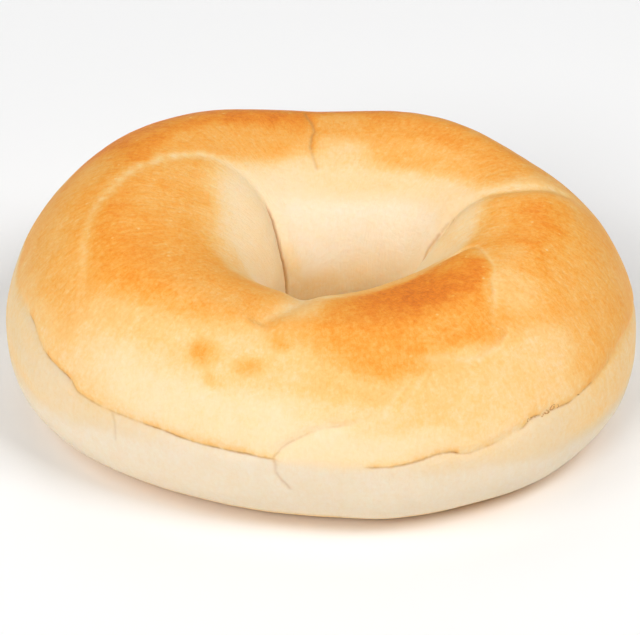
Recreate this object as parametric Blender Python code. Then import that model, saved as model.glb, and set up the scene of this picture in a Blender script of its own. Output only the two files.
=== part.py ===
"""A plain bagel: one ring of dough with a domed top, a flat base and an oval hole.

The ring was rolled from a rope of dough and joined, so the top shows the seams of the
fold, and a raised edge runs round the side where the top crust meets the softer wall.

Metres, +Z up. The origin is the middle of the base on the surface that it rests on,
-Y is the front, and the angles below are degrees: turn goes round the ring from +X
towards +Y, and tilt goes round the dough's section, from 0 at the outside over the top
at 90 to the hole's wall at 180 and the base at 270.
"""

import bpy
import numpy as np

MM = 0.001

# The ring seen from above. Each wave is (times round, share of the radius, turn of its crest).
OUTER_RADIUS = 53.3 * MM
OUTER_WAVES = [(2, 0.064, -18), (3, 0.005, -6), (4, 0.012, 32)]
HOLE_CENTRE = (4.0 * MM, -1.0 * MM)
HOLE_HALF_LENGTH = 14.5 * MM
HOLE_HALF_WIDTH = 9.0 * MM
HOLE_TURN = 30
RIDGE_SHARE = 0.54  # how far out from the hole's wall the top of the dome is
MIDDLE = (0.29 * MM, 0.16 * MM)  # of the lumpy ring seen from above, which moves to the origin

# The dough's section.
HEIGHT = 36.5 * MM
HEIGHT_WAVES = [(1, 0.05, 100), (2, 0.03, 0)]
OUTER_BELLY_HEIGHT = 13.5 * MM
HOLE_BELLY_HEIGHT = 17.0 * MM
OUTER_DOME_POWER = 1.75
HOLE_DOME_POWER = 2.2
BASE_POWER = 2.6
BASE_CUT = 0.9 * MM  # how much of the round underside is pressed flat

# The mesh: a torus with closer rows over the top than under the base.
TURN_STEPS = 100
TILT_STEPS = 48
TOP_ROWS_CLOSER = 0.3
TORUS_RADIUS = 34 * MM
TORUS_THICKNESS = 18 * MM

CRUST_COLOUR = (0.80, 0.44, 0.16, 1.0)
CRUST_ROUGHNESS = 0.45


def smooth_step(low, high, value):
    share = np.clip((value - low) / (high - low), 0, 1)
    return share * share * (3 - 2 * share)


def wave(turn, terms):
    """1 plus a few waves round the ring; turn is in radians."""
    total = np.ones_like(turn)
    for times, share, crest in terms:
        total += share * np.cos(times * (turn - np.radians(crest)))
    return total


def hole_radius(turn):
    """From the origin to the narrowest line of the hole, a turned ellipse off the centre."""
    angle = np.radians(HOLE_TURN)
    across = np.cos(turn - angle) / HOLE_HALF_LENGTH
    along = np.sin(turn - angle) / HOLE_HALF_WIDTH
    x, y = HOLE_CENTRE
    centre_across = (x * np.cos(angle) + y * np.sin(angle)) / HOLE_HALF_LENGTH
    centre_along = (y * np.cos(angle) - x * np.sin(angle)) / HOLE_HALF_WIDTH
    a = across**2 + along**2
    b = across * centre_across + along * centre_along
    c = centre_across**2 + centre_along**2 - 1
    return (b + np.sqrt(b * b - a * c)) / a


def dough_ring(turn, tilt):
    """Points of the smooth ring, before its seams; turn and tilt are in radians."""
    outer = OUTER_RADIUS * wave(turn, OUTER_WAVES)
    hole = hole_radius(turn)
    ridge = hole + (outer - hole) * RIDGE_SHARE
    height = HEIGHT * wave(turn, HEIGHT_WAVES)

    out, up = np.cos(tilt), np.sin(tilt)
    outside = smooth_step(-0.35, 0.35, out)
    dome_power = HOLE_DOME_POWER + (OUTER_DOME_POWER - HOLE_DOME_POWER) * outside
    power = BASE_POWER + (dome_power - BASE_POWER) * smooth_step(-0.25, 0.25, up)
    reach = (np.abs(out) ** power + np.abs(up) ** power) ** (1 / power)
    out, up = out / reach, up / reach

    belly = HOLE_BELLY_HEIGHT + (OUTER_BELLY_HEIGHT - HOLE_BELLY_HEIGHT) * (1 + out) / 2
    radius = ridge + np.where(out > 0, outer - ridge, ridge - hole) * out
    z = belly + np.where(up > 0, height - belly, belly + BASE_CUT) * up
    return np.stack([radius * np.cos(turn), radius * np.sin(turn), z], axis=-1)


# Broad lumps and hollows of the hand-shaped dough: turn, tilt, reach and height (less than
# nothing is a hollow).
LUMPS = {
    "back_right_shoulder": (62, 60, 16 * MM, 1.2 * MM),
    "back_left_shoulder": (137, 60, 16 * MM, 0.9 * MM),
    "back_dip": (88, 80, 13 * MM, -0.8 * MM),
    "right_hollow": (30, 50, 14 * MM, -1.5 * MM),
    "right_bulge": (-22, 30, 14 * MM, 0.5 * MM),
    "front_right_inner_hollow": (-13, 136, 10 * MM, -2.2 * MM),
    "front_left_hollow": (-125, -8, 18 * MM, -0.8 * MM),
    "front_base_bump": (-78, -28, 5 * MM, 0.5 * MM),
}

# Seams and folds: the (turn, tilt) points that each line passes through, its depth and
# width, and how far and how wide the dough swells on the line's left-hand side.
FOLDS = {
    "left_lobe_seam": {
        "line": [(165, 205), (158, 170), (148, 147), (140, 125), (147, 106), (162, 97), (183, 82), (201, 62), (211, 48)],
        "depth": 1.0 * MM,
        "width": 1.8 * MM,
        "swell": 0.9 * MM,
        "reach": 5 * MM,
    },
    "right_lobe_seam": {
        "line": [(8, 45), (9, 69), (8, 85), (9, 102), (11, 116), (10, 130), (5, 144), (-3, 162), (-8, 190)],
        "depth": 1.0 * MM,
        "width": 1.8 * MM,
        "swell": 0.9 * MM,
        "reach": 5 * MM,
    },
    "front_lobe_seam": {
        "line": [(-46, 60), (-40, 77), (-34, 88), (-26, 97), (-21, 105), (-20, 112), (-25, 119), (-32, 128)],
        "depth": 0.7 * MM,
        "width": 1.6 * MM,
        "swell": 0.7 * MM,
        "reach": 4 * MM,
    },
    "front_notch": {
        "line": [(-108, 78), (-104, 91), (-100, 102), (-97, 113), (-99, 130), (-104, 150)],
        "depth": 1.6 * MM,
        "width": 2.2 * MM,
        "swell": 0.0,
        "reach": 4 * MM,
    },
    "left_crust_edge": {
        "line": [(-170, 20), (-156, 15), (-140, 13), (-128, 11), (-114, 9), (-104, 8), (-95, 7)],
        "depth": 0.5 * MM,
        "width": 1.2 * MM,
        "swell": 0.8 * MM,
        "reach": 3 * MM,
    },
    "right_crust_edge": {
        "line": [(-85, 6), (-73, 7), (-61, 8), (-52, 13), (-42, 14), (-28, 16), (-14, 18), (0, 18), (14, 15)],
        "depth": 0.5 * MM,
        "width": 1.2 * MM,
        "swell": 0.8 * MM,
        "reach": 3 * MM,
    },
    "back_crust_edge": {
        "line": [(36, 14), (55, 16), (75, 13), (95, 15), (118, 12), (140, 16), (158, 19)],
        "depth": 0.5 * MM,
        "width": 1.2 * MM,
        "swell": 0.8 * MM,
        "reach": 3 * MM,
    },
}
LINE_SAMPLES = 120
FADE = 0.18  # share of a fold's length over which each end dies away


def line_through(points, count):
    """Evenly counted (turn, tilt) samples, in radians, of a smooth line through the points."""
    points = np.radians(np.array(points, float))
    ends = np.vstack([2 * points[0] - points[1], points, 2 * points[-1] - points[-2]])
    place = np.linspace(0, len(points) - 1, count)
    piece = np.minimum(place.astype(int), len(points) - 2)
    t = (place - piece)[:, None]
    p0, p1, p2, p3 = (ends[piece + k] for k in range(4))
    return 0.5 * (
        2 * p1
        + (p2 - p0) * t
        + (2 * p0 - 5 * p1 + 4 * p2 - p3) * t**2
        + (3 * p1 - p0 - 3 * p2 + p3) * t**3
    )


def faced(turn, tilt, position_of=dough_ring):
    """Positions and outward normals of the smooth ring at these angles."""
    step = 1e-4
    position = position_of(turn, tilt)
    along = position_of(turn + step, tilt) - position_of(turn - step, tilt)
    over = position_of(turn, tilt + step) - position_of(turn, tilt - step)
    normal = np.cross(along, over)
    return position, normal / np.linalg.norm(normal, axis=-1, keepdims=True)


def lump_height(position, turn, tilt, reach, height):
    """A round swelling of the dough about one place on the ring."""
    centre = dough_ring(np.radians(turn), np.radians(tilt))
    distance = np.linalg.norm(position - centre, axis=-1)
    return height * np.exp(-((distance / reach) ** 2))


def fold_height(position, fold):
    """How far a fold moves the surface: a valley along its line and a swelling at its left."""
    turn, tilt = line_through(fold["line"], LINE_SAMPLES).T
    line, normal = faced(turn, tilt)
    leftward = np.cross(normal, np.gradient(line, axis=0))
    leftward /= np.linalg.norm(leftward, axis=-1, keepdims=True)
    apart = position[:, None, :] - line[None, :, :]
    nearest = np.argmin((apart**2).sum(axis=-1), axis=1)
    away = apart[np.arange(len(position)), nearest]
    distance = np.linalg.norm(away, axis=-1)
    left = (away * leftward[nearest]).sum(axis=-1) > 0
    share = nearest / (LINE_SAMPLES - 1)
    fade = smooth_step(0, FADE, share) * smooth_step(0, FADE, 1 - share)
    valley = -fold["depth"] * np.exp(-((distance / fold["width"]) ** 2))
    ratio = distance / fold["reach"]
    swelling = fold["swell"] * ratio * np.exp(1 - ratio) * left
    return fade * (valley + swelling * np.exp(-(ratio / 3) ** 2))


def bagel_surface(turn, tilt):
    """Points of the finished bagel, with the underside pressed flat at z = 0."""
    position, normal = faced(turn, tilt)
    height = sum(lump_height(position, *lump) for lump in LUMPS.values())
    height = height + sum(fold_height(position, fold) for fold in FOLDS.values())
    position = position + normal * height[:, None]
    position[:, :2] -= MIDDLE
    position[:, 2] = np.maximum(position[:, 2], 0)
    return position


def shape_ring(mesh, ring_radius):
    """Moves a torus's points to where the bagel's surface has the same angles."""
    flat = np.empty(len(mesh.vertices) * 3)
    mesh.vertices.foreach_get("co", flat)
    x, y, z = flat.reshape(-1, 3).T
    turn = np.arctan2(y, x)
    tilt = np.arctan2(z, np.hypot(x, y) - ring_radius)
    tilt += TOP_ROWS_CLOSER * np.cos(tilt)
    mesh.vertices.foreach_set("co", bagel_surface(turn, tilt).ravel())
    mesh.update()


def crust_material():
    """Baked bread crust: golden, with a soft sheen."""
    crust = bpy.data.materials.new("crust")
    crust.use_nodes = True
    shader = crust.node_tree.nodes["Principled BSDF"]
    shader.inputs["Base Color"].default_value = CRUST_COLOUR
    shader.inputs["Roughness"].default_value = CRUST_ROUGHNESS
    shader.inputs["Metallic"].default_value = 0.0
    return crust


def main():
    for thing in list(bpy.data.objects):
        bpy.data.objects.remove(thing)
    collection = bpy.data.collections.new("bagel_parts")
    bpy.context.scene.collection.children.link(collection)

    bpy.ops.mesh.primitive_torus_add(
        major_segments=TURN_STEPS,
        minor_segments=TILT_STEPS,
        major_radius=TORUS_RADIUS,
        minor_radius=TORUS_THICKNESS,
    )
    bagel = bpy.context.object
    bagel.name = "bagel"
    for owner in list(bagel.users_collection):
        owner.objects.unlink(bagel)
    collection.objects.link(bagel)

    shape_ring(bagel.data, TORUS_RADIUS)
    bagel.data.shade_smooth()
    bagel.data.materials.append(crust_material())


if __name__ == "__main__":
    main()
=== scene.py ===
import math

import bmesh
import bpy
import numpy as np
from mathutils import Matrix, Vector, noise
from mathutils.bvhtree import BVHTree


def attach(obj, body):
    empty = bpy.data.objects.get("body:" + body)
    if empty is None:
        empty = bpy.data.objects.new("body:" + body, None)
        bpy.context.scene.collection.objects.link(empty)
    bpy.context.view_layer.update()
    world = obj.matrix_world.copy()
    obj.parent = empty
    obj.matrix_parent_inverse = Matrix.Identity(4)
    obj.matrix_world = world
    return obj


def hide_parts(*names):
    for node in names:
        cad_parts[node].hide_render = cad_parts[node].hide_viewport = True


# A plain bagel with its baked crust: pale where the dough stayed soft, golden to brown on top.
# Metres, +Z up. Places on the ring are (turn, tilt) in degrees: turn goes round from +X towards
# +Y, and tilt goes round the dough's section, 0 outside, 90 on top, 180 at the hole, 270 below.

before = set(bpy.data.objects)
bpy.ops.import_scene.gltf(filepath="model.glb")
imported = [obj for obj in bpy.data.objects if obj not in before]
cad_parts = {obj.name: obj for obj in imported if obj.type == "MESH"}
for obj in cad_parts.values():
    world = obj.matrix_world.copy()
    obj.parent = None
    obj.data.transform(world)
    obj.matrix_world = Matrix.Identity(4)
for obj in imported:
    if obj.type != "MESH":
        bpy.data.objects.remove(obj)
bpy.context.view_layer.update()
mm = 0.001
print("frame loaded")


def smoothStep(low, high, value):
    share = np.clip((value - low) / (high - low), 0, 1)
    return share * share * (3 - 2 * share)


def noiseAt(position, cell, seed):
    shift = Vector((seed * 3.1, seed * 1.7, seed * 5.3))
    return np.array([noise.noise(Vector(point) / cell + shift) for point in position])


# The ring of dough: its outline, its section, its mesh and its unevenness.
ring = {
    "outerRadius": 53.3 * mm,
    "outerWaves": [(2, 0.064, -18), (3, 0.005, -6), (4, 0.012, 32)],  # times round, share, crest
    "holeCentre": (4.0 * mm, -1.0 * mm),
    "holeHalfLength": 14.5 * mm,
    "holeHalfWidth": 9.0 * mm,
    "holeTurn": 30,
    "ridgeShare": 0.54,
    "middle": (0.29 * mm, 0.16 * mm),
    "height": 36.5 * mm,
    "heightWaves": [(1, 0.05, 100), (2, 0.03, 0)],
    "outerBellyHeight": 13.5 * mm,
    "holeBellyHeight": 17.0 * mm,
    "outerDomePower": 1.75,
    "holeDomePower": 2.2,
    "basePower": 2.6,
    "domeBlend": 0.35,  # how softly the hole's curve gives way to the outer one
    "baseBlend": 0.25,  # and the base's to the dome's
    "baseCut": 0.9 * mm,  # how much of the round underside is pressed flat
    "turnSteps": 372,
    "tiltSteps": 144,
    "topRowsCloser": 0.3,
    "torusRadius": 34 * mm,
    "torusThickness": 18 * mm,
    "finerWithin": (1.7 * mm, 0.8 * mm),  # of a groove, each time with faces half as large
    # broad lumps and hollows of the hand-shaped dough: turn, tilt, reach, height
    "lumps": {
        "backRightShoulder": (62, 60, 16 * mm, 1.2 * mm),
        "backLeftShoulder": (137, 60, 16 * mm, 0.9 * mm),
        "backDip": (88, 80, 13 * mm, -0.8 * mm),
        "rightHollow": (30, 50, 14 * mm, -1.5 * mm),
        "rightBulge": (-22, 30, 14 * mm, 0.5 * mm),
        "frontRightInnerHollow": (-13, 136, 10 * mm, -2.2 * mm),
        "frontLeftHollow": (-125, -8, 18 * mm, -0.8 * mm),
        "frontBaseBump": (-78, -28, 5 * mm, 0.5 * mm),
        "baseNub": (-110.5, -27, 1.3 * mm, 0.4 * mm),
        "baseNubTwin": (-107, -25, 1.0 * mm, 0.3 * mm),
        "baseNubRight": (-71.5, -19, 1.3 * mm, 0.35 * mm),
    },
    # cell size and height of the dough's unevenness
    "relief": {
        "broad": (15 * mm, 0.28 * mm),
        "middle": (5.0 * mm, 0.07 * mm),
        "fine": (1.7 * mm, 0.022 * mm),
    },
}


def wave(turn, terms):
    total = np.ones_like(turn)
    for times, share, crest in terms:
        total += share * np.cos(times * (turn - np.radians(crest)))
    return total


def holeRadius(turn):
    angle = np.radians(ring["holeTurn"])
    x, y = ring["holeCentre"]
    length, width = ring["holeHalfLength"], ring["holeHalfWidth"]
    across, along = np.cos(turn - angle) / length, np.sin(turn - angle) / width
    centreAcross = (x * np.cos(angle) + y * np.sin(angle)) / length
    centreAlong = (y * np.cos(angle) - x * np.sin(angle)) / width
    a = across**2 + along**2
    b = across * centreAcross + along * centreAlong
    c = centreAcross**2 + centreAlong**2 - 1
    return (b + np.sqrt(b * b - a * c)) / a


def doughRing(turn, tilt):
    outer = ring["outerRadius"] * wave(turn, ring["outerWaves"])
    hole = holeRadius(turn)
    ridge = hole + (outer - hole) * ring["ridgeShare"]
    height = ring["height"] * wave(turn, ring["heightWaves"])
    out, up = np.cos(tilt), np.sin(tilt)
    outside = smoothStep(-ring["domeBlend"], ring["domeBlend"], out)
    above = smoothStep(-ring["baseBlend"], ring["baseBlend"], up)
    domePower = ring["holeDomePower"] + (ring["outerDomePower"] - ring["holeDomePower"]) * outside
    power = ring["basePower"] + (domePower - ring["basePower"]) * above
    reach = (np.abs(out) ** power + np.abs(up) ** power) ** (1 / power)
    out, up = out / reach, up / reach
    bellyRise = ring["outerBellyHeight"] - ring["holeBellyHeight"]
    belly = ring["holeBellyHeight"] + bellyRise * (1 + out) / 2
    radius = ridge + np.where(out > 0, outer - ridge, ridge - hole) * out
    z = belly + np.where(up > 0, height - belly, belly + ring["baseCut"]) * up
    return np.stack([radius * np.cos(turn), radius * np.sin(turn), z], axis=-1)


def faced(turn, tilt):
    step = 1e-4
    along = doughRing(turn + step, tilt) - doughRing(turn - step, tilt)
    over = doughRing(turn, tilt + step) - doughRing(turn, tilt - step)
    normal = np.cross(along, over)
    return doughRing(turn, tilt), normal / np.linalg.norm(normal, axis=-1, keepdims=True)


def lumpHeight(position, turn, tilt, reach, height):
    centre = doughRing(np.radians(turn), np.radians(tilt))
    distance = np.linalg.norm(position - centre, axis=-1)
    return height * np.exp(-((distance / reach) ** 2))


# Seams, creases, cracks and one painted shadow line. Each runs through its (turn, tilt) points. depth
# and width are its soft valley, swell and reach how the dough stands up on its left, rise how both
# change along it, and lip the thin edge of crust there. crease is the depth of the sharp groove,
# creaseWidth its width, spans the parts of the line that have one (first point, last point, strength)
# and patchy how broken up it is. pale is stretched raw dough, paleReach how far it shows, paleAlong
# how it changes along the line and paleShift how far off the line it lies. toastAndShade is the
# browned line in the groove, partly painted shade of the groove, and glow the browned strip on its
# left. Depths and widths are in millimetres.
folds = {
    # inside the hole its dark crease line is partly painted shade along the lobe's edge
    "leftLobeSeam": {
        "line": [(149, 205), (149, 178), (145, 160), (138, 144), (134, 128), (138, 111), (150, 98),
                 (164, 88), (180, 77), (190, 70), (203, 60), (212, 50)],
        "rise": [(0, 1.5), (3, 1.1), (5, 0.2), (7, 0.1)],
        "depth": 0.55, "width": 1.2, "swell": 0.8, "reach": 5, "lip": 0.0,
        "crease": 0.5, "creaseWidth": 0.26, "spans": [(0, 3.4, 1.0)], "patchy": 0.0,
        "pale": 0.85, "paleReach": 1.35, "toastAndShade": 0.5, "glow": 0.0,
        "paleAlong": [(3, 0.6), (5, 1.0), (7, 1.0), (9, 0.65), (11, 0.5)],
    },
    # inside the hole its dark crease line is partly painted shade along the lobe's edge
    "rightLobeSeam": {
        "line": [(8, 45), (9, 69), (8, 85), (9, 102), (11, 116), (12, 128), (11, 140), (8.8, 152),
                 (4, 165), (-2, 185)],
        "rise": [(0, 0.3), (3, 0.5), (5, 0.7), (7, 1.3), (9, 1.3)],
        "depth": 0.8, "width": 1.6, "swell": 0.9, "reach": 4, "lip": 0.0,
        "crease": 0.6, "creaseWidth": 0.3, "spans": [(5.6, 9, 1.0)], "patchy": 0.0,
        "pale": 0.85, "paleReach": 1.3, "toastAndShade": 0.6, "glow": 0.0, "paleShift": -0.9,
    },
    "frontLobeSeam": {
        "line": [(-50, 58), (-46, 68), (-42, 76), (-37, 86), (-30, 96), (-24, 105), (-20, 113),
                 (-23, 120), (-31, 128)],
        "rise": [(0, 0.5), (5, 0.8), (8, 0.9)],
        "depth": 0.3, "width": 0.7, "swell": 0.4, "reach": 3.5, "lip": 0.0,
        "crease": 0.0, "creaseWidth": 0.3, "spans": [],
        "pale": 0.5, "paleReach": 0.5, "toastAndShade": 0.0, "glow": 0.0,
        "paleAlong": [(0, 0.6), (4, 1.0), (6, 0.8), (8, 0.3)],
    },
    "frontNotch": {
        "line": [(-109, 78), (-106, 87), (-103, 96), (-99, 106), (-97, 118), (-99, 132),
                 (-104, 150)],
        "depth": 1.0, "width": 2.5, "swell": 0.0, "reach": 4, "lip": 0.0,
        "crease": 0.0, "creaseWidth": 0.35, "spans": [],
        "pale": 0.5, "paleReach": 1.4, "toastAndShade": 0.0, "glow": 0.0,
    },
    "leftCrustEdge": {
        "line": [(-178, 21), (-172, 23.5), (-166, 25), (-161, 24.5), (-155, 20), (-149, 18),
                 (-145, 16.3), (-142, 12.8), (-134, 11.2), (-123, 10.8), (-114, 8.7),
                 (-104, 8.2), (-98, 7)],
        "depth": 0.3, "width": 1.0, "swell": 0.35, "reach": 2.5, "lip": 0.2,
        "crease": 0.22, "creaseWidth": 0.2,
        "spans": [(2.4, 3.2, 1.0), (3.2, 4.2, 0.5), (4.2, 6, 1.0), (6, 7.6, 0.7), (7.6, 8.6, 0.5),
                  (8.6, 12, 0.9)],
        "pale": 0.0, "paleReach": 1.0, "toastAndShade": 0.85, "glow": 0.24,
    },
    "rightCrustEdge": {
        "line": [(-82, 5.6), (-74, 6.2), (-68, 9.4), (-65, 9.2), (-62, 7.2), (-57, 8.8), (-51, 12.3),
                 (-48, 15.3), (-46, 14.2), (-43, 14.4), (-39, 13.6), (-33, 14.3), (-29, 14.8),
                 (-24, 16.2), (-18, 16), (-12, 14.2), (-6, 11), (4, 9), (16, 12)],
        "depth": 0.3, "width": 1.0, "swell": 0.35, "reach": 2.5, "lip": 0.2,
        "crease": 0.22, "creaseWidth": 0.2,
        "spans": [(0, 2.4, 0.7), (2.4, 3.5, 1.0), (3.5, 5.3, 0.4), (6.0, 6.5, 0.6), (6.7, 7.8, 1.0),
                  (8.7, 11.2, 1.0), (11.4, 13, 0.25)],
        "pale": 0.0, "paleReach": 1.0, "toastAndShade": 0.85, "glow": 0.26,
    },
    "backCrustEdge": {
        "line": [(30, 16), (45, 19), (62, 15), (80, 16), (98, 13), (118, 15), (140, 18), (160, 25)],
        "depth": 0.3, "width": 1.0, "swell": 0.35, "reach": 2.5, "lip": 0.2,
        "crease": 0.22, "creaseWidth": 0.2, "spans": [(0, 2.6, 0.9), (3.1, 4.4, 0.6), (4.8, 7, 1.0)],
        "pale": 0.0, "paleReach": 1.0, "toastAndShade": 0.85, "glow": 0.3,
    },
    "frontWrinkle": {
        "line": [(-99, 7.5), (-97, 13.5), (-95, 17), (-92.6, 20.7), (-90, 24), (-85, 26.7),
                 (-79, 28)],
        "depth": 0.2, "width": 0.8, "swell": 0.3, "reach": 2.0, "lip": 0.06,
        "crease": 0.12, "creaseWidth": 0.2, "spans": [(0, 2.2, 0.8), (2.2, 5.2, 0.45)],
        "pale": 0.3, "paleReach": 0.8, "toastAndShade": 0.5, "glow": 0.05,
    },
    "frontWallCrack": {
        "line": [(-99, 7.5), (-98.5, 4.8), (-98.3, 0.7), (-97.3, -5.2), (-96.1, -10.5),
                 (-94.8, -16.8)],
        "depth": 0.15, "width": 0.8, "swell": 0.1, "reach": 2, "lip": 0.05,
        "crease": 0.07, "creaseWidth": 0.34, "spans": [(-0.5, 4.4, 0.9)], "patchy": 0.4,
        "pale": 0.0, "paleReach": 1.0, "toastAndShade": 0.36, "glow": 0.0,
    },
    # painted shadow: a thin dark line where the right lobe's flank meets the hole's wall, over a very
    # shallow groove
    "rightLobeShadowLine": {
        "line": [(12.0, 133), (12.5, 139), (12.8, 146), (13.2, 152), (13.2, 158), (12, 164)],
        "depth": 0.1, "width": 0.7, "swell": 0.0, "reach": 1.5, "lip": 0.0,
        "crease": 0.06, "creaseWidth": 0.3, "patchy": 0.0,
        "spans": [(0.8, 1.9, 0.4), (1.9, 6, 0.8)],
        "pale": 0.0, "paleReach": 1.0, "toastAndShade": 0.62, "glow": 0.15,
    },
    "leftWallCrack": {
        "line": [(-134, 11), (-132.8, 5.5), (-132.6, -1), (-132.8, -9)],
        "depth": 0.1, "width": 0.7, "swell": 0.05, "reach": 2, "lip": 0.0,
        "crease": 0.05, "creaseWidth": 0.28, "spans": [(-0.5, 2.5, 0.8)], "patchy": 0.4,
        "pale": 0.0, "paleReach": 1.0, "toastAndShade": 0.32, "glow": 0.0,
    },
    "stretchMark": {
        "line": [(-69, 53), (-72, 45), (-74, 41), (-76, 35), (-78, 28)],
        "depth": 0.2, "width": 0.6, "swell": 0.15, "reach": 1.6, "lip": 0.0,
        "crease": 0.0, "creaseWidth": 0.25, "spans": [],
        "pale": 0.55, "paleReach": 0.6, "toastAndShade": 0.0, "glow": 0.0,
    },
    "stretchMarkTwin": {
        "line": [(-66, 52), (-69.5, 44), (-71.5, 38), (-73.5, 32)],
        "depth": 0.15, "width": 0.6, "swell": 0.1, "reach": 1.4, "lip": 0.0,
        "crease": 0.0, "creaseWidth": 0.25, "spans": [],
        "pale": 0.45, "paleReach": 0.5, "toastAndShade": 0.0, "glow": 0.0,
    },
    "lobeFoot": {
        "line": [(-68, 61), (-64, 58.8), (-60, 56), (-56, 52), (-51.3, 52.5), (-48, 55),
                 (-44, 60)],
        "depth": 0.3, "width": 0.9, "swell": 0.45, "reach": 2.2, "lip": 0.0,
        "crease": 0.0, "creaseWidth": 0.3, "spans": [],
        "pale": 0.5, "paleReach": 0.8, "toastAndShade": 0.0, "glow": 0.0,
    },
    "backCrack": {
        "line": [(94.5, 80), (93.4, 88), (92.2, 94), (91.8, 100), (93.2, 107), (93.2, 113),
                 (91.4, 120), (89.5, 127)],
        "depth": 0.2, "width": 0.8, "swell": 0.12, "reach": 2.0, "lip": 0.0,
        "crease": 0.08, "creaseWidth": 0.34, "spans": [(0, 5, 0.9), (5, 6.6, 0.5)], "patchy": 0.3,
        "pale": 0.1, "paleReach": 1.2, "toastAndShade": 0.6, "glow": 0.2,
    },
}
foldStyle = {
    "crustEdges": ("leftCrustEdge", "rightCrustEdge", "backCrustEdge"),
    "samples": 560,  # places worked out along each line
    "wobble": [(0.26, 13.0), (0.14, 5.5), (0.08, 2.3), (0.05, 1.1)],  # size and length in mm
    # shares of a fold's length over which its ends, its groove and the crust's edge die away
    "fade": 0.14,
    "grooveFade": 0.02,
    "edgeFade": 0.03,
    "spanBlend": 0.2,  # over which a span begins or ends, in points of the line
    "patchMean": 0.75,  # of the broken groove, which stays within patchRange
    "patches": [(0.9, 2.6), (0.5, 0.9)],  # size and length in mm
    "patchRange": (0.15, 1.1),
    "lipStep": 0.14 * mm,
    "lipReach": 1.4 * mm,
    "paleNoise": (0.85, 0.5, 1.6 * mm),  # mean, size, cell
    "toastAndShadeShare": 0.95,  # of the groove's width
    "glowReach": 0.9 * mm,
    "edgeBand": (2.5 * mm, 4.5 * mm),  # beside a crust's edge, where its line is exact
    "softEdge": 3.0 * mm,  # over which crust gives way to side, without a crack and with one
    "sharpEdge": 0.4 * mm,
    "sectionRadius": 20 * mm,
}


def lineThrough(points, count):
    points = np.radians(np.array(points, float))
    ends = np.vstack([2 * points[0] - points[1], points, 2 * points[-1] - points[-2]])
    place = np.linspace(0, len(points) - 1, count)
    piece = np.minimum(place.astype(int), len(points) - 2)
    t = (place - piece)[:, None]
    p0, p1, p2, p3 = (ends[piece + k] for k in range(4))
    return 0.5 * (2 * p1 + (p2 - p0) * t + (2 * p0 - 5 * p1 + 4 * p2 - p3) * t**2
                  + (3 * p1 - p0 - 3 * p2 + p3) * t**3)


def leftOf(line, normal):
    leftward = np.cross(normal, np.gradient(line, axis=0))
    return leftward / np.linalg.norm(leftward, axis=-1, keepdims=True)


def foldLine(fold):
    turn, tilt = lineThrough(fold["line"], foldStyle["samples"]).T
    line, normal = faced(turn, tilt)
    leftward = leftOf(line, normal)
    for number, (size, length) in enumerate(foldStyle["wobble"]):
        aside = size * mm * noiseAt(line, length * 0.5 * mm, 31 + number)
        line = line + leftward * aside[:, None]
    return line, normal


def nearestOnLine(position, line, normal):
    # share along the line, distance from it and distance to its left of each position
    leftward = leftOf(line, normal)
    nearest = np.empty(len(position), int)
    block = 4000  # measured at a time, to spare memory
    for start in range(0, len(position), block):
        some = slice(start, start + block)
        apart = position[some, None, :] - line[None, :, :]
        nearest[some] = np.argmin((apart**2).sum(axis=-1), axis=1)
    away = position - line[nearest]
    left = (away * leftward[nearest]).sum(axis=-1)
    forward = np.gradient(line, axis=0)
    forward /= np.linalg.norm(forward, axis=-1, keepdims=True)
    ahead = (away * forward[nearest]).sum(axis=-1)
    inner = (nearest > 0) & (nearest < len(line) - 1)
    distance = np.sqrt(np.maximum((away**2).sum(axis=-1) - np.where(inner, ahead, 0) ** 2, 0))
    return nearest / (len(line) - 1), distance, left


def near(position, line, margin):
    inBox = (position > line.min(axis=0) - margin) & (position < line.max(axis=0) + margin)
    return np.all(inBox, axis=1)


def bell(distance, width):
    return np.exp(-((distance / width) ** 2))


def fadeEnds(share, fade):
    return smoothStep(0, fade, share) * smoothStep(0, fade, 1 - share)


def grooveAlong(fold, pointAt):
    # how strong the sharp groove is at each place on its line
    blend = foldStyle["spanBlend"]
    strength = np.zeros(len(pointAt))
    for first, last, most in fold["spans"]:
        span = smoothStep(first - blend, first + blend, pointAt)
        span = span * (1 - smoothStep(last - blend, last + blend, pointAt))
        strength = np.maximum(strength, most * span)
    return strength


def brokenAlong(fold, line, share):
    # how broken up the groove is at each place on its line
    patchy = foldStyle["patchMean"]
    for number, (size, length) in enumerate(foldStyle["patches"]):
        patchy = patchy + size * noiseAt(line, length * mm, 41 + number)
    patchy = 1 + (np.clip(patchy, *foldStyle["patchRange"]) - 1) * fold.get("patchy", 1)
    return patchy[(share * (len(line) - 1)).round().astype(int)]


def edgeTilt(turn):
    # the tilt at which the crust gives way to the pale side, all round
    points = sorted(((x + 180) % 360 - 180, y)
                    for name in foldStyle["crustEdges"] for x, y in folds[name]["line"])
    turns, tilts = zip(*points)
    return np.radians(np.interp(np.degrees(turn), turns, tilts, period=360))


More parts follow.
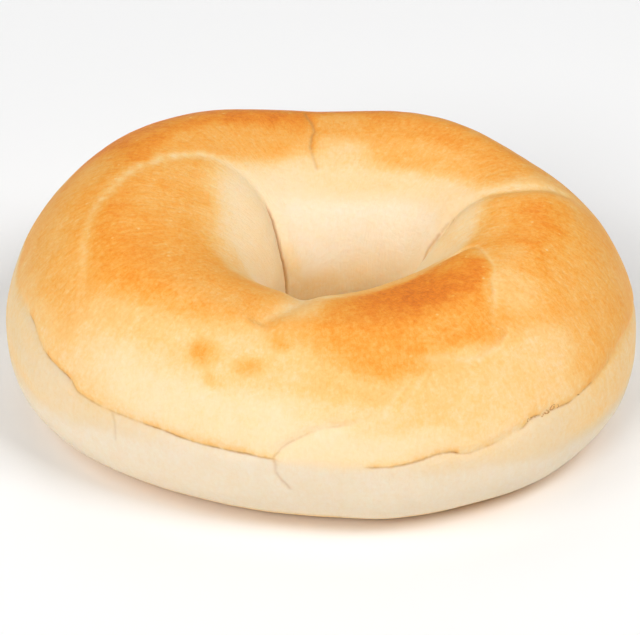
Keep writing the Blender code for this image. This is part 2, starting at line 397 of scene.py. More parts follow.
def foldFields(position, turn, tilt):
    # what the folds do to the surface: its height, the pale, toastAndShade and glow masks along them,
    # the distance above the crust's edge and how sharp that edge is
    height, pale, toastAndShade, glow, edge = np.zeros((5, len(position)))
    tiltHere = np.mod(tilt + math.pi, 2 * math.pi) - math.pi
    above = (tiltHere - edgeTilt(turn)) * foldStyle["sectionRadius"]
    for name, fold in folds.items():
        line, normal = foldLine(fold)
        inside = near(position, line, 4 * max(fold["reach"], fold["width"]) * mm)
        share, distance, left = nearestOnLine(position[inside], line, normal)
        onLeft = left > 0
        pointAt = share * (len(fold["line"]) - 1)
        ends = fadeEnds(share, foldStyle["fade"])
        sharp = grooveAlong(fold, pointAt) * fadeEnds(share, foldStyle["grooveFade"])
        patchy = brokenAlong(fold, line, share)
        # the soft valley, the dough that swells beside it, the lip of crust and the groove
        rise = ends * np.interp(pointAt, *zip(*fold.get("rise", [(0, 1)])))
        valley = -fold["depth"] * mm * bell(distance, fold["width"] * mm)
        ratio = distance / (fold["reach"] * mm)
        swelling = fold["swell"] * mm * ratio**2 * np.exp(2 * (1 - ratio)) * onLeft
        lip = fold["lip"] * mm * smoothStep(-foldStyle["lipStep"], foldStyle["lipStep"], left)
        lip = lip * sharp * np.exp(-distance / foldStyle["lipReach"])
        groove = bell(distance, fold["creaseWidth"] * mm) * sharp * patchy
        height[inside] += rise * (valley + swelling) + lip - fold["crease"] * mm * groove
        # the pale stretched dough
        shift = fold.get("paleShift", 0) * mm
        mean, size, cell = foldStyle["paleNoise"]
        paleHere = fold["pale"] * ends * np.interp(pointAt, *zip(*fold.get("paleAlong", [(0, 1)])))
        paleHere = paleHere * bell(np.abs(left - shift) if shift else distance, fold["paleReach"] * mm)
        paleHere = paleHere * (mean + size * noiseAt(position[inside], cell, 43))
        pale[inside] = np.maximum(pale[inside], paleHere)
        # the browning in the groove, partly painted shade of the groove, and beside it
        toastAndShadeReach = fold["creaseWidth"] * foldStyle["toastAndShadeShare"] * mm
        toastAndShadeHere = fold["toastAndShade"] * patchy * sharp * bell(distance, toastAndShadeReach)
        toastAndShade[inside] = np.maximum(toastAndShade[inside], toastAndShadeHere)
        glowHere = fold["glow"] * patchy * sharp * onLeft * bell(distance, foldStyle["glowReach"])
        glow[inside] = np.maximum(glow[inside], glowHere)
        if name in foldStyle["crustEdges"]:
            close = 1 - smoothStep(*foldStyle["edgeBand"], distance)
            close = close * fadeEnds(share, foldStyle["edgeFade"])
            above[inside] = above[inside] * (1 - close) + left * close
            edge[inside] = np.maximum(edge[inside], close * sharp)
    return height, pale, toastAndShade, glow, above, edge


# Patches of browning on the crust, two of them partly painted shade deep in the hole, laid one over
# the other: turn, tilt, half size in turn and in tilt, slant (degrees of turn that it leans for each
# of tilt), browning (0 raw, 1 brown) and how soft the edge is, as a share of the size.
patches = {
    "holeWall": (0, 180, 400, 400, 0, 0.06, 0.1),
    "crustBand": (0, 62, 400, 56, 0, 0.58, 0.35),
    "farWallPale": (74, 150, 62, 24, 0, -0.07, 0.8),
    # painted shade: darker tan deep down on the hole's wall
    "holeDeepShade": (104, 188, 62, 12, 0, 0.16, 0.9),
    "backCrest": (108, 73, 66, 25, 0, 1.06, 0.7),
    "backLeftRim": (146, 70, 24, 24, 0, 0.94, 0.7),
    "backRightCrest": (44, 88, 28, 16, 0, 0.74, 0.8),
    "backOuter": (104, 58, 60, 13, 0, 1.14, 1.0),
    "backLow": (92, 32, 46, 13, 0, 0.50, 1.0),
    "farWallTop": (60, 128, 44, 12, 0, 0.11, 0.9),
    # browner low on the hole's far wall by the left seam, partly painted shade
    "farWallLeftTanAndShade": (140, 174, 18, 14, 0, 0.15, 0.9),
    "backRightInner": (48, 114, 24, 10, 0, 0.52, 0.9),
    "backLeftInner": (116, 107, 20, 9, 0, 0.60, 0.9),
    "seamCrest": (140, 98, 26, 8, 0, 0.62, 1.0),
    "backPale": (82, 92, 9, 12, 0, 0.58, 1.0),
    "backPaleStreak": (78, 115, 10, 8, 0, 0.22, 1.0),
    "leftLobe": (-166, 84, 29, 26, 0, 0.78, 0.9),
    "leftLobeCore": (-166, 88, 17, 12, 0, 0.82, 0.9),
    "leftLobeInner": (178, 105, 23, 17, 0, 0.60, 1.2),
    "leftFlank": (-170, 48, 22, 18, 0, 0.54, 0.8),
    "leftFoot": (-164, 28, 16, 10, 0, 0.37, 0.9),
    "leftInner": (-136, 114, 34, 18, 0, 0.68, 0.9),
    "leftOuter": (165, 64, 12, 15, 0, 0.58, 0.9),
    "leftInnerLow": (-140, 134, 18, 9, 0, 0.28, 0.9),
    "leftPaleMiddle": (-132, 50, 19, 18, 0, 0.33, 0.9),
    "frontPale": (-114, 27, 36, 22, 0, 0.07, 0.9),
    "frontEdgePale": (-66, 13, 28, 13, 0, 0.11, 0.9),
    "frontYellow": (-108, 58, 22, 18, 0, 0.25, 0.9),
    "frontMiddle": (-74, 45, 13, 10, 0, 0.36, 0.9),
    "frontLobe": (-64, 86, 26, 28, 0, 0.82, 0.7),
    "frontLobeFlank": (-63, 66, 20, 14, 0, 0.72, 0.9),
    "frontLobeDark": (-51, 107, 27, 17, 0, 1.26, 0.8),
    "frontLobeSide": (-36, 76, 7, 20, 0.25, 0.38, 0.8),
    "frontLobeTip": (-33, 108, 11, 9, 0, 0.92, 0.9),
    "frontLobeRim": (-56, 128, 32, 9, 0, 0.48, 0.9),
    "frontMiddlePale": (-81, 30, 12, 9, 0, 0.19, 0.9),
    "frontNeck": (-89, 16, 13, 11, 0, 0.04, 0.9),
    "frontFoot": (-55, 52, 12, 8, 0, 0.36, 0.9),
    "frontRightPale": (-50, 32, 19, 19, 0, 0.24, 0.9),
    "frontRightWarm": (-42, 42, 8, 10, 0, 0.25, 1.0),
    "rightLobe": (-12, 84, 15, 24, 0, 0.80, 0.7),
    "rightFlank": (-14, 54, 18, 18, 0, 0.60, 0.8),
    "rightFoot": (-14, 26, 20, 14, 0, 0.54, 0.9),
    "rightLobeInner": (-13, 108, 10, 8, 0, 0.55, 0.9),
    "rightLobeEdge": (-26, 92, 5, 15, 0, 0.55, 0.9),
    "rightSeamRim": (12, 88, 5, 28, 0, 0.40, 0.9),
    "rightInner": (0, 132, 17, 15, 0, 0.14, 0.8),
    "frontNotchPale": (-97, 106, 7, 20, 0, 0.35, 1.0),
    "leftSpot": (-116.5, 55, 3.4, 6.0, 0, 0.66, 1.6),
    "leftSpotTail": (-113, 44, 2.2, 3.6, 0, 0.42, 1.6),
    "middleSpot": (-105.2, 54, 2.6, 4.6, 0, 0.56, 1.6),
    "notchSpot": (-101.6, 70, 2.8, 4.6, 0, 0.60, 1.6),
    "base": (0, 262, 400, 54, 0, 0.30, 0.35),
    "baseRing": (0, 304, 400, 9, 0, 0.34, 0.9),
}
# The same for the pale side below the crust's edge.
sidePatches = {
    "side": (0, 0, 400, 400, 0, -0.05, 0.1),
    "backSide": (104, 6, 66, 15, 0, 0.13, 1.0),
    "rightSide": (-22, 5, 24, 18, 0, 0.22, 0.9),
    "leftSide": (-172, 8, 26, 18, 0, 0.17, 1.0),
    "leftSideEdge": (-146, 9, 20, 8, 0, 0.06, 1.0),
    "rightSideEdge": (-56, 8, 18, 10, 0, 0.06, 1.0),
    "base": (0, 262, 400, 54, 0, 0.30, 0.35),
    "baseRing": (0, 304, 400, 9, 0, 0.34, 0.9),
}
# How far noise bends the patches' edges: cell size, degrees of turn and of tilt.
browningWarps = [(9 * mm, 3.0, 3.6), (3.5 * mm, 1.2, 1.5)]
softShare = 0.6  # of a patch's softness lies inside its edge, and as much outside


def browningAt(position, turn, tilt, layers):
    turn = np.degrees(turn)
    tilt = np.mod(np.degrees(tilt) + 40, 360) - 40  # cut where no patch has its edge
    for number, (cell, byTurn, byTilt) in enumerate(browningWarps):
        turn = turn + byTurn * noiseAt(position, cell, 1 + number)
        tilt = tilt + byTilt * noiseAt(position, cell, 3 + number)
    browning = np.zeros(len(position))
    for patchTurn, patchTilt, halfTurn, halfTilt, slant, value, soft in layers.values():
        acrossTilt = tilt - patchTilt
        acrossTurn = np.mod(turn - patchTurn + 180, 360) - 180 - slant * acrossTilt
        size = np.sqrt((acrossTurn / halfTurn) ** 2 + (acrossTilt / halfTilt) ** 2)
        weight = 1 - smoothStep(1 - soft * softShare, 1 + soft * softShare, size)
        browning = browning * (1 - weight) + value * weight
    return browning


def anglesOf(points):
    x, y, z = points.T
    turn = np.arctan2(y, x)
    tilt = np.arctan2(z, np.hypot(x, y) - ring["torusRadius"])
    return turn, tilt + ring["topRowsCloser"] * np.cos(tilt)


def lineGap(points, margin):
    # distance from the nearest fold, if it is within the margin; the crust's edge at the back is
    # left out, because its faces stay coarse
    position, _ = faced(*anglesOf(points))
    gap = np.full(len(points), 1.0)
    for name, fold in folds.items():
        if name == "backCrustEdge":
            continue
        line, normal = foldLine(fold)
        inside = near(position, line, margin)
        _, distance, _ = nearestOnLine(position[inside], line, normal)
        gap[inside] = np.minimum(gap[inside], distance)
    return gap


def settleOrder(bm):
    # spin leaves edges and faces in an order that changes from run to run, so they are put in the
    # order of their points
    bm.verts.index_update()
    count = len(bm.verts)

    def rank(part):
        first, second, third = (sorted(vertex.index for vertex in part.verts) + [0])[:3]
        return (first * count + second) * count + third

    for parts in (bm.edges, bm.faces):
        parts.sort(key=rank)
        parts.index_update()


def makeRing():
    bm = bmesh.new()
    bmesh.ops.create_circle(bm, segments=ring["tiltSteps"], radius=ring["torusThickness"])
    bmesh.ops.rotate(bm, verts=bm.verts, cent=(0, 0, 0), matrix=Matrix.Rotation(math.pi / 2, 3, "X"))
    bmesh.ops.translate(bm, verts=bm.verts, vec=(ring["torusRadius"], 0, 0))
    bmesh.ops.spin(bm, geom=bm.verts[:] + bm.edges[:], cent=(0, 0, 0), axis=(0, 0, 1),
                   angle=2 * math.pi, steps=ring["turnSteps"], use_merge=True)
    settleOrder(bm)
    bmesh.ops.recalc_face_normals(bm, faces=bm.faces)
    for within in ring["finerWithin"]:
        centres = np.array([face.calc_center_median() for face in bm.faces])
        close = lineGap(centres, margin=3 * mm) < within
        edges = dict.fromkeys(edge for face, chosen in zip(bm.faces, close) if chosen
                              for edge in face.edges)
        bmesh.ops.subdivide_edges(bm, edges=list(edges), cuts=1, use_grid_fill=True)
    bmesh.ops.triangulate(bm, faces=[face for face in bm.faces if len(face.verts) > 4])
    settleOrder(bm)
    return bm


def addValues(mesh, name, values):
    attribute = mesh.attributes.new(name, "FLOAT", "POINT")
    attribute.data.foreach_set("value", np.ascontiguousarray(values, dtype=np.float32))


def shapeRing(mesh):
    flat = np.empty(len(mesh.vertices) * 3)
    mesh.vertices.foreach_get("co", flat)
    turn, tilt = anglesOf(flat.reshape(-1, 3))
    position, normal = faced(turn, tilt)
    height = sum(lumpHeight(position, *lump) for lump in ring["lumps"].values())
    folded, pale, toastAndShade, glow, above, edge = foldFields(position, turn, tilt)
    height = height + folded
    for number, (cell, size) in enumerate(ring["relief"].values()):
        height = height + size * noiseAt(position, cell, 11 + number)
    shaped = position + normal * height[:, None]
    shaped[:, :2] -= ring["middle"]
    shaped[:, 2] = np.maximum(shaped[:, 2], 0)
    mesh.vertices.foreach_set("co", shaped.ravel())
    mesh.update()

    # the pale side below the crust's edge, and the crust everywhere else, with the hole's wall
    crusty = browningAt(position, turn, tilt, patches)
    uncrusted = browningAt(position, turn, tilt, sidePatches)
    soft = foldStyle["softEdge"] + (foldStyle["sharpEdge"] - foldStyle["softEdge"]) * edge
    onCrust = smoothStep(-soft / 2, soft / 2, above)
    inHole = np.cos(tilt) < -0.2
    onCrust = np.where(inHole, 1, onCrust)
    # the browning also carries painted shade deep in the hole and along the painted shadow line
    addValues(mesh, "browning", uncrusted * (1 - onCrust) + crusty * onCrust + glow)
    addValues(mesh, "pale", pale)
    # the dark groove lines, partly painted shade in the grooves
    addValues(mesh, "toastAndShade", toastAndShade)
    # the side mask: where the wall is dulled and also darkened with painted shade
    addValues(mesh, "side", (1 - onCrust) * (1 - smoothStep(0.0, crustLook["sideDullingAndShadeEnd"], uncrusted)))

    # where each point lies round the ring and round its section, for noise that follows the dough
    everywhere, atEnds = crustLook["fibreStrength"]
    addValues(mesh, "fibrous", everywhere + atEnds * np.cos(turn) ** 2)
    addValues(mesh, "roundSection", np.sin(tilt))
    flow = mesh.attributes.new("roundRing", "FLOAT_VECTOR", "POINT")
    around = np.stack([np.cos(turn), np.sin(turn), np.cos(tilt)], axis=-1)
    flow.data.foreach_set("vector", around.ravel())


crustLook = {
    # browning, then the colour of the crust there
    "colours": [
        (-0.10, (0.925, 0.810, 0.630)),
        (0.00, (0.912, 0.725, 0.475)),
        (0.10, (0.912, 0.670, 0.368)),
        (0.30, (0.916, 0.560, 0.208)),
        (0.50, (0.905, 0.462, 0.118)),
        (0.70, (0.895, 0.382, 0.062)),
        (0.90, (0.880, 0.316, 0.034)),
        (1.15, (0.830, 0.240, 0.018)),
        (1.50, (0.690, 0.170, 0.014)),
    ],
    # the dark line in the grooves: browned crust, partly painted shade of the groove
    "toastAndShadeColour": (0.520, 0.250, 0.080, 1.0),
    "sideDullingAndShade": (0.905, 0.905, 0.925, 1.0),  # the uncrusted side is duller, and painted shade darkens it as if it were less lit
    "noiseOnRaw": 0.10,  # how much the noise shows on raw dough, and how much more on brown
    "noiseOnBrown": 0.80,
    "sideDullingAndShadeEnd": 0.25,  # the browning at which that tint is gone
    # noise: cells in a metre, detail, roughness, how far it moves the browning
    "mottle": (190, 5, 0.82, 0.66),
    "grain": (1300, 2, 0.60, 0.42),
    # noise drawn out across the rope of dough: how fast it changes with turn and with tilt,
    # distortion, how far it moves the browning
    "fibres": (60, 5.0, 0.4, 0.30),
    "wrinkles": (34, 7.0, 0.9, 0.17),
    "wrinkleWidth": 0.05,
    "fibreStrength": (0.5, 0.6),  # everywhere, and more at the ring's left and right
    # dots: cells in a metre, size, share of the cells that have one, how pale or how brown
    # the blisters' paleness is partly painted glints on them
    "blisters": (430, 0.17, 0.5, 0.75),
    "pores": (620, 0.10, 0.3, 0.6),
    "onlyBrown": (2.5, -1.2),  # slope and start of the mask for what only brown crust has
    "paleHides": 0.75,  # share of the browning that stretched dough hides
    "roughness": (0.62, 0.50),  # raw, brown
    "specular": 0.14,
    "softness": (0.3, (1.0, 0.55, 0.3), 1.6 * mm),  # light in the dough: weight, radius, scale
    "bumpHeight": 0.22 * mm,
    "bumpStrength": 0.8,
    "bumps": {"fibres": 0.6, "grain": 0.6, "mottle": 0.9, "blisters": 0.35, "pores": -0.4,
              "wrinkles": -0.10},
}


def addNode(tree, kind, place, **settings):
    node = tree.nodes.new(kind)
    node.location = place
    for name, value in settings.items():
        setattr(node, name, value)
    return node


def calculate(tree, operation, values, place, clamp=False):
    node = addNode(tree, "ShaderNodeMath", place, operation=operation, use_clamp=clamp)
    for socket, value in zip(node.inputs, values):
        if isinstance(value, (int, float)):
            socket.default_value = value
        else:
            tree.links.new(value, socket)
    return node.outputs[0]


def makeCrustMaterial():
    material = bpy.data.materials.new("bakedCrust")
    material.use_nodes = True
    tree = material.node_tree
    link = tree.links.new
    shader = tree.nodes["Principled BSDF"]
    shader.location = (1200, 0)

    def attribute(name, place):
        return addNode(tree, "ShaderNodeAttribute", place, attribute_name=name)

    browning = attribute("browning", (-1600, 400)).outputs["Fac"]
    pale = attribute("pale", (-1600, 200)).outputs["Fac"]
    toastAndShade = attribute("toastAndShade", (-1600, 0)).outputs["Fac"]
    side = attribute("side", (-1600, -200)).outputs["Fac"]
    roundRing = attribute("roundRing", (-1600, -400)).outputs["Vector"]
    roundSection = attribute("roundSection", (-1600, -600)).outputs["Fac"]
    fibrous = attribute("fibrous", (-1600, -800)).outputs["Fac"]
    coordinates = addNode(tree, "ShaderNodeTexCoord", (-1600, 600))

    def ropeNoise(byTurn, byTilt, distortion, place):
        # noise that follows the rope of dough
        x, y = place
        stretch = addNode(tree, "ShaderNodeVectorMath", (x - 200, y), operation="MULTIPLY")
        stretch.inputs[1].default_value = (byTurn, byTurn, byTilt)
        link(roundRing, stretch.inputs[0])
        node = addNode(tree, "ShaderNodeTexNoise", place, noise_dimensions="4D")
        node.inputs["Scale"].default_value = 1.0
        node.inputs["Detail"].default_value = 3.0
        node.inputs["Roughness"].default_value = 0.6
        node.inputs["Distortion"].default_value = distortion
        link(stretch.outputs[0], node.inputs["Vector"])
        turned = calculate(tree, "MULTIPLY", (roundSection, byTilt), (x - 200, y - 160))
        link(turned, node.inputs["W"])
        return node.outputs[0]

    def objectNoise(scale, detail, roughness, place):
        node = addNode(tree, "ShaderNodeTexNoise", place)
        node.inputs["Scale"].default_value = scale
        node.inputs["Detail"].default_value = detail
        node.inputs["Roughness"].default_value = roughness
        link(coordinates.outputs["Object"], node.inputs["Vector"])
        return node.outputs[0]

    def dots(scale, size, share, place):
        # small round dots in some of the cells
        node = addNode(tree, "ShaderNodeTexVoronoi", place)
        node.inputs["Scale"].default_value = scale
        link(coordinates.outputs["Object"], node.inputs["Vector"])
        x, y = place
        split = addNode(tree, "ShaderNodeSeparateColor", (x + 180, y - 120))
        link(node.outputs["Color"], split.inputs[0])
        apart = calculate(tree, "DIVIDE", (node.outputs["Distance"], size), (x + 180, y))
        dot = calculate(tree, "SUBTRACT", (1.0, apart), (x + 340, y), clamp=True)
        chosen = calculate(tree, "GREATER_THAN", (split.outputs[0], 1 - share), (x + 340, y - 120))
        return calculate(tree, "MULTIPLY", (dot, chosen), (x + 500, y))

    fibres = ropeNoise(*crustLook["fibres"][:3], (-1200, -350))
    fibres = calculate(tree, "SUBTRACT", (fibres, 0.5), (-1050, -350))
    fibres = calculate(tree, "MULTIPLY_ADD", (fibres, fibrous, 0.5), (-900, -350))
    mottle = objectNoise(*crustLook["mottle"][:3], (-1200, 700))
    grain = objectNoise(*crustLook["grain"][:3], (-1200, 500))
    # thin wavy wrinkles in the skin
    wrinkles = ropeNoise(*crustLook["wrinkles"][:3], (-1200, -700))
    wrinkles = calculate(tree, "SUBTRACT", (wrinkles, 0.5), (-1050, -700))
    wrinkles = calculate(tree, "ABSOLUTE", (wrinkles,), (-900, -700))
    wrinkles = calculate(tree, "DIVIDE", (wrinkles, crustLook["wrinkleWidth"]), (-740, -700))
    wrinkles = calculate(tree, "SUBTRACT", (1.0, wrinkles), (-580, -700), clamp=True)

    # the noise moves the browning, more so where the crust is brown
    least = crustLook["noiseOnRaw"]
    room = calculate(tree, "MULTIPLY_ADD", (browning, crustLook["noiseOnBrown"], least), (-900, 450))
    room = calculate(tree, "MAXIMUM", (room, least), (-740, 450))
    total = browning
    for source, name, y in ((fibres, "fibres", 300), (mottle, "mottle", 150), (grain, "grain", 0)):
        size = crustLook[name][3]
        centred = calculate(tree, "MULTIPLY_ADD", (source, 2 * size, -size), (-900, y))
        total = calculate(tree, "MULTIPLY_ADD", (centred, room, total), (-740, y))
    size = crustLook["wrinkles"][3]
    folded = calculate(tree, "MULTIPLY_ADD", (wrinkles, size, -0.3 * size), (-740, -100))
    total = calculate(tree, "MULTIPLY_ADD", (folded, room, total), (-580, 0))

    # pale blisters on the brown crust, their paleness partly painted glints on them, and brown pores
    slope, begin = crustLook["onlyBrown"]
    onlyBrown = calculate(tree, "MULTIPLY_ADD", (browning, slope, begin), (-900, 900), clamp=True)
    *dotted, strength = crustLook["blisters"]
    blisters = dots(*dotted, (-1600, 1200))
    blisters = calculate(tree, "MULTIPLY", (blisters, onlyBrown), (-700, 1100))
    total = calculate(tree, "MULTIPLY_ADD", (blisters, -strength, total), (-560, 200))
    *dotted, strength = crustLook["pores"]
    pores = dots(*dotted, (-1600, 900))
    pores = calculate(tree, "MULTIPLY", (pores, browning), (-700, 950), clamp=True)
    total = calculate(tree, "MULTIPLY_ADD", (pores, strength, total), (-420, 200))

    # stretched dough hides the browning, and what is left picks the colour
    kept = calculate(tree, "MULTIPLY_ADD", (pale, -crustLook["paleHides"], 1.0), (-260, -200))
    total = calculate(tree, "MULTIPLY", (total, kept), (-100, 100))
    stops = crustLook["colours"]
    palest, brownest = stops[0][0], stops[-1][0]
    lifted = calculate(tree, "SUBTRACT", (total, palest), (0, 100))
    scaled = calculate(tree, "DIVIDE", (lifted, brownest - palest), (100, 100), clamp=True)
    ramp = addNode(tree, "ShaderNodeValToRGB", (220, 200))
    while len(ramp.color_ramp.elements) < len(stops):
        ramp.color_ramp.elements.new(0.5)
    for element, (amount, colour) in zip(ramp.color_ramp.elements, stops):
        element.position = (amount - palest) / (brownest - palest)
        element.color = (*colour, 1.0)
    link(scaled, ramp.inputs[0])

    # the side wall's duller colour, partly painted shade of a less-lit wall
    sideDullingAndShadeMix = addNode(tree, "ShaderNodeMix", (600, 200), data_type="RGBA", blend_type="MULTIPLY")
    sideDullingAndShadeMix.inputs[7].default_value = crustLook["sideDullingAndShade"]
    link(side, sideDullingAndShadeMix.inputs[0])
    link(ramp.outputs[0], sideDullingAndShadeMix.inputs[6])
    # the groove's dark line: browned crust, partly painted shade of the groove
    toastAndShadeMix = addNode(tree, "ShaderNodeMix", (800, 100), data_type="RGBA")
    toastAndShadeMix.inputs[7].default_value = crustLook["toastAndShadeColour"]
    link(toastAndShade, toastAndShadeMix.inputs[0])
    link(sideDullingAndShadeMix.outputs[2], toastAndShadeMix.inputs[6])
    link(toastAndShadeMix.outputs[2], shader.inputs["Base Color"])

    raw, brown = crustLook["roughness"]
    rough = addNode(tree, "ShaderNodeMapRange", (800, -150))
    rough.inputs["To Min"].default_value = raw
    rough.inputs["To Max"].default_value = brown
    link(total, rough.inputs["Value"])
    link(rough.outputs[0], shader.inputs["Roughness"])

    wrinkled = calculate(tree, "MULTIPLY", (wrinkles, onlyBrown), (-420, -640))
    sources = {"fibres": fibres, "grain": grain, "mottle": mottle, "blisters": blisters,
               "pores": pores, "wrinkles": wrinkled}
    height = 0.0
    for number, (name, share) in enumerate(crustLook["bumps"].items()):
        place = (-260 + 160 * number, -500)
        height = calculate(tree, "MULTIPLY_ADD", (sources[name], share, height), place)
    bump = addNode(tree, "ShaderNodeBump", (800, -450))
    bump.inputs["Strength"].default_value = crustLook["bumpStrength"]
    bump.inputs["Distance"].default_value = crustLook["bumpHeight"]
    link(height, bump.inputs["Height"])
    link(bump.outputs[0], shader.inputs["Normal"])
    weight, radius, scale = crustLook["softness"]
    shader.inputs["Specular IOR Level"].default_value = crustLook["specular"]
    shader.inputs["Subsurface Weight"].default_value = weight
    shader.inputs["Subsurface Radius"].default_value = radius
    shader.inputs["Subsurface Scale"].default_value = scale
    return material


def makeCrust():
    bm = makeRing()
    mesh = bpy.data.meshes.new("bagelCrust")
    bm.to_mesh(mesh)
    bm.free()
    print("ring", len(mesh.vertices), "points")
    shapeRing(mesh)
    mesh.shade_smooth()
    crust = bpy.data.objects.new("bagelCrust", mesh)
    bpy.context.scene.collection.objects.link(crust)
    mesh.materials.append(makeCrustMaterial())
    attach(crust, "root")
    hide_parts("bagel")
    triangles = sum(len(polygon.vertices) - 2 for polygon in mesh.polygons)
    print("crust", triangles, "triangles")
    return crust


crust = makeCrust()


# The curls and crumbs at the torn spot in the crust's edge.
crumbLook = {
    # turn, tilt, half length along the crust's edge, half width, number of crumbs
    "places": {
        "tornSpot": (-44.4, 15.0, 1.2 * mm, 0.4 * mm, 7),
        "tornEnd": (-48, 15.2, 0.8 * mm, 0.2 * mm, 3),
        "speck": (-36.8, 13.9, 0.25 * mm, 0.12 * mm, 3),
        "backSpecks": (118, 15.0, 6.0 * mm, 0.3 * mm, 8),
    },
    # turn, tilt, radius, thickness, share of a whole turn, where it starts, in turns
    "curls": [
        (-44.9, 14.6, 0.42 * mm, 0.10 * mm, 0.75, 0.45),
        (-43.5, 15.9, 0.50 * mm, 0.08 * mm, 0.80, 0.10),
        (-42.3, 15.0, 0.30 * mm, 0.07 * mm, 0.60, 0.70),
        (-46.0, 14.2, 0.24 * mm, 0.08 * mm, 0.65, 0.55),
        (-49.2, 14.9, 0.26 * mm, 0.07 * mm, 0.55, 0.20),
    ],
    "curlFlatness": 0.7,
    "curlBend": 0.35,  # how far noise bends a curl, as a share of its radius
    "curlSink": 0.3,  # how high a curl's middle sits, in thicknesses
    "size": (0.07 * mm, 0.17 * mm),
    "knobbliness": 0.45,
    "crumbSink": 0.15,
    "seed": 7,
    "colour": (0.560, 0.300, 0.110, 1.0),
    "roughness": 0.7,
    "specular": 0.2,
}


def placeOnRing(turn, tilt):
    centre, normal = faced(np.radians(turn), np.radians(tilt))
    centre[:2] -= ring["middle"]
    return Vector(centre), Vector(normal)


def addCurl(bm, skin, pick, turn, tilt, radius, thickness, share, start):
    spot, facing, _, _ = skin.find_nearest(placeOnRing(turn, tilt)[0])
    old = set(bm.verts)
    circle = bmesh.ops.create_circle(bm, segments=8, radius=thickness, cap_ends=True)["verts"]
    bmesh.ops.rotate(bm, verts=circle, cent=(0, 0, 0), matrix=Matrix.Rotation(math.pi / 2, 3, "X"))
    bmesh.ops.translate(bm, verts=circle, vec=(radius, 0, 0))
    edges = list(dict.fromkeys(edge for vertex in circle for edge in vertex.link_edges))
    bmesh.ops.spin(bm, geom=circle + edges, cent=(0, 0, 0), axis=(0, 0, 1),
                   angle=2 * math.pi * share, steps=18)
    curl = [vertex for vertex in bm.verts if vertex not in old]
    endEdges = [edge for edge in bm.edges if edge.is_boundary]
    bmesh.ops.holes_fill(bm, edges=endEdges, sides=0)
    seed = Vector(pick.uniform(0, 50, 3))
    for vertex in curl:
        bent = noise.noise_vector(vertex.co / radius * 0.9 + seed)
        vertex.co += bent * radius * crumbLook["curlBend"]
        vertex.co.y *= crumbLook["curlFlatness"]
    spun = Matrix.Rotation(2 * math.pi * start, 3, "Z")
    turned = facing.to_track_quat("Z", "Y").to_matrix()
    bmesh.ops.rotate(bm, verts=curl, cent=(0, 0, 0), matrix=turned @ spun)
    bmesh.ops.translate(bm, verts=curl, vec=spot + facing * thickness * crumbLook["curlSink"])


def addCrumbs(bm, skin, pick, turn, tilt, halfLength, halfWidth, number):
    centre, normal = placeOnRing(turn, tilt)
    along = Vector((-math.sin(math.radians(turn)), math.cos(math.radians(turn)), 0))
    across = normal.cross(along)
    for _ in range(number):
        size = pick.uniform(*crumbLook["size"])
        place = centre + along * halfLength * pick.uniform(-1, 1)
        place += across * halfWidth * pick.uniform(-1, 1)
        spot, facing, _, _ = skin.find_nearest(place)
        crumb = bmesh.ops.create_icosphere(bm, subdivisions=2, radius=1.0)["verts"]
        stretched = Vector((pick.uniform(0.7, 1.8), pick.uniform(0.6, 1.1), pick.uniform(0.5, 0.9)))
        seed = Vector(pick.uniform(0, 50, 3))
        for vertex in crumb:
            knobbly = 1 + crumbLook["knobbliness"] * noise.noise(vertex.co * 1.3 + seed)
            vertex.co = Vector(a * b for a, b in zip(vertex.co * knobbly, stretched)) * size
        turned = Vector(pick.uniform(-1, 1, 3)).to_track_quat("Z", "Y").to_matrix()
        bmesh.ops.rotate(bm, verts=crumb, cent=(0, 0, 0), matrix=turned)
        bmesh.ops.translate(bm, verts=crumb, vec=spot + facing * size * crumbLook["crumbSink"])


def makeCrumbMaterial():
    material = bpy.data.materials.new("toastedCrumb")
    material.use_nodes = True
    shader = material.node_tree.nodes["Principled BSDF"]
    shader.inputs["Base Color"].default_value = crumbLook["colour"]
    shader.inputs["Roughness"].default_value = crumbLook["roughness"]
    shader.inputs["Specular IOR Level"].default_value = crumbLook["specular"]
    return material


def makeCrumbs(crust):
    pick = np.random.default_rng(crumbLook["seed"])
    noise.seed_set(crumbLook["seed"])  # or the curls bend differently in each run
    skin = BVHTree.FromPolygons([vertex.co for vertex in crust.data.vertices],
                                [polygon.vertices for polygon in crust.data.polygons])
    bm = bmesh.new()
    for curl in crumbLook["curls"]:
        addCurl(bm, skin, pick, *curl)
    for place in crumbLook["places"].values():
        addCrumbs(bm, skin, pick, *place)
    settleOrder(bm)
    bmesh.ops.recalc_face_normals(bm, faces=bm.faces)
    mesh = bpy.data.meshes.new("toastedCrumbs")
    bm.to_mesh(mesh)
    bm.free()
    mesh.shade_smooth()
    mesh.materials.append(makeCrumbMaterial())
    crumbs = bpy.data.objects.new("toastedCrumbs", mesh)
    bpy.context.scene.collection.objects.link(crumbs)
    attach(crumbs, "root")
    print("crumbs made")


makeCrumbs(crust)


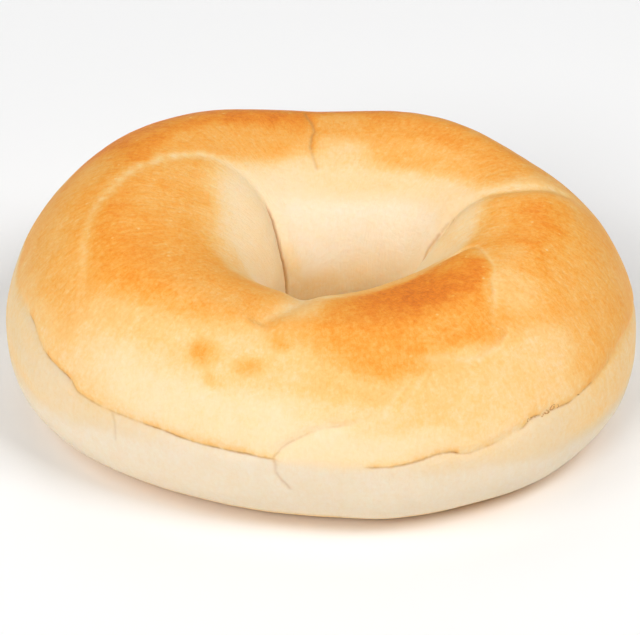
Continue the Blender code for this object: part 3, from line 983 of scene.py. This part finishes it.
# A plain pale floor, soft light and the camera.
studio = {
    "floorColour": (0.94, 0.94, 0.94, 1.0),
    "floorSize": 6.0,
    "floorDepth": 0.1 * mm,  # below the bagel's base
    "floorRoughness": 0.8,
    "worldStrength": 0.04,
    "softboxes": [  # name, place, size, power
        ("frontSoftbox", (-0.70, -1.50, 1.10), 0.7, 16.2),
        ("leftSoftbox", (-1.0, -0.6, 1.4), 0.9, 8.2),
        ("rightSoftbox", (1.0, -0.6, 1.4), 0.9, 18.2),
        ("backSoftbox", (0, 1.2, 1.2), 1.2, 6.4),
        ("leftSideSoftbox", (-1.8, 0, 0.6), 1.2, 5.4),
        ("rightSideSoftbox", (1.8, 0, 0.6), 1.2, 2.8),
    ],
    "aim": (0.0, -0.00016, 0.0137),
    "cameraDistance": 0.8,
    "cameraElevation": 32,
    "lens": 254.17,
}


def makeFloor():
    bm = bmesh.new()
    bmesh.ops.create_grid(bm, x_segments=1, y_segments=1, size=studio["floorSize"] / 2)
    bmesh.ops.translate(bm, verts=bm.verts, vec=(0, 0, -studio["floorDepth"]))
    mesh = bpy.data.meshes.new("floor")
    bm.to_mesh(mesh)
    bm.free()
    floor = bpy.data.objects.new("floor", mesh)
    bpy.context.scene.collection.objects.link(floor)
    material = bpy.data.materials.new("paleFloor")
    material.use_nodes = True
    shader = material.node_tree.nodes["Principled BSDF"]
    shader.inputs["Base Color"].default_value = studio["floorColour"]
    shader.inputs["Roughness"].default_value = studio["floorRoughness"]
    mesh.materials.append(material)


def makeAreaLight(name, place, size, power):
    light = bpy.data.lights.new(name, "AREA")
    light.size = size
    light.energy = power
    holder = bpy.data.objects.new(name, light)
    holder.location = place
    aim = Vector(studio["aim"]) - Vector(place)
    holder.rotation_euler = aim.to_track_quat("-Z", "Y").to_euler()
    bpy.context.scene.collection.objects.link(holder)


def makeCamera():
    camera = bpy.data.cameras.new("camera")
    camera.lens = studio["lens"]
    camera.sensor_width = 36
    camera.clip_end = 20
    holder = bpy.data.objects.new("camera", camera)
    lift = math.radians(studio["cameraElevation"])
    back = Vector((0, -math.cos(lift), math.sin(lift)))
    holder.location = Vector(studio["aim"]) + studio["cameraDistance"] * back
    holder.rotation_euler = (math.pi / 2 - lift, 0, 0)
    bpy.context.scene.collection.objects.link(holder)
    bpy.context.scene.camera = holder


def makeWorld():
    world = bpy.data.worlds.new("studio")
    world.use_nodes = True
    background = world.node_tree.nodes["Background"]
    background.inputs["Color"].default_value = (1.0, 1.0, 1.0, 1.0)
    background.inputs["Strength"].default_value = studio["worldStrength"]
    bpy.context.scene.world = world
    bpy.context.scene.view_settings.view_transform = "Standard"


makeFloor()
for name, place, size, power in studio["softboxes"]:
    makeAreaLight(name, place, size, power)
makeCamera()
makeWorld()
print("studio made")
